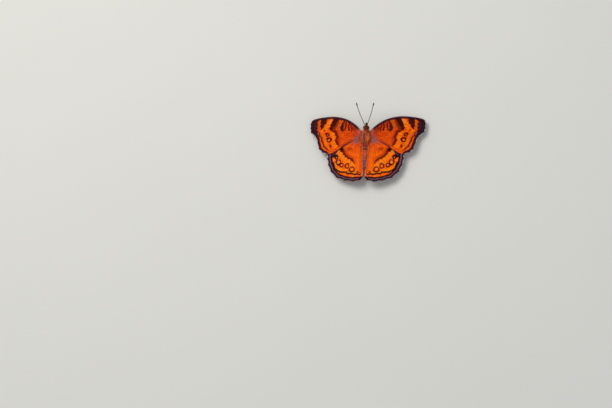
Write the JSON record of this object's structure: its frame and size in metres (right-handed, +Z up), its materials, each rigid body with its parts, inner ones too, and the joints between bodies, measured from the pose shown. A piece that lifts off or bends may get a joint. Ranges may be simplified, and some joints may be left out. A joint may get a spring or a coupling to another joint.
{
  "type": "brown pansy butterfly",
  "caption": "Life-size orange-brown butterfly, basking with its scalloped wings spread flat, standing on small flat soles",
  "frame": {"origin": "middle of the bounding box on the floor, under the body at the rear of the thorax", "axes": "+X towards the butterfly's own right wing tips, +Y towards the head, +Z up from the floor that the feet stand on"},
  "size_m": [0.0558, 0.0373, 0.0119],
  "materials": {
    "head": "dense dark maroon hair and scales, dull",
    "thorax": "long soft reddish-brown hair with a paler bloom",
    "abdomen": "short pinkish-brown scales, darker at the waist",
    "eye": "smooth dark brown, finely faceted",
    "palp": "bristly brown scales",
    "proboscis": "horny brown, ringed",
    "antenna": "olive brown shaft with fine pale rings and a dark club",
    "forewing": "fine overlapping scales, red-orange with dark brown bars, eyespots and border",
    "hindwing": "fine overlapping scales, orange with a row of eyespots and dark wavy border lines",
    "leg": "brown horn under pale scales, finely spined"
  },
  "bodies": {
    "root": {"head": "head", "thorax": "thorax", "abdomen": "abdomen", "eye_left": "eye", "eye_right": "eye", "palp_left": "palp", "palp_right": "palp", "proboscis": "proboscis", "antenna_left": "antenna", "antenna_right": "antenna", "forewing_left": "forewing", "forewing_right": "forewing", "hindwing_left": "hindwing", "hindwing_right": "hindwing", "foreleg_left": "leg", "foreleg_right": "leg", "midleg_left": "leg", "midleg_right": "leg", "hindleg_left": "leg", "hindleg_right": "leg"}
  },
  "joints": []
}
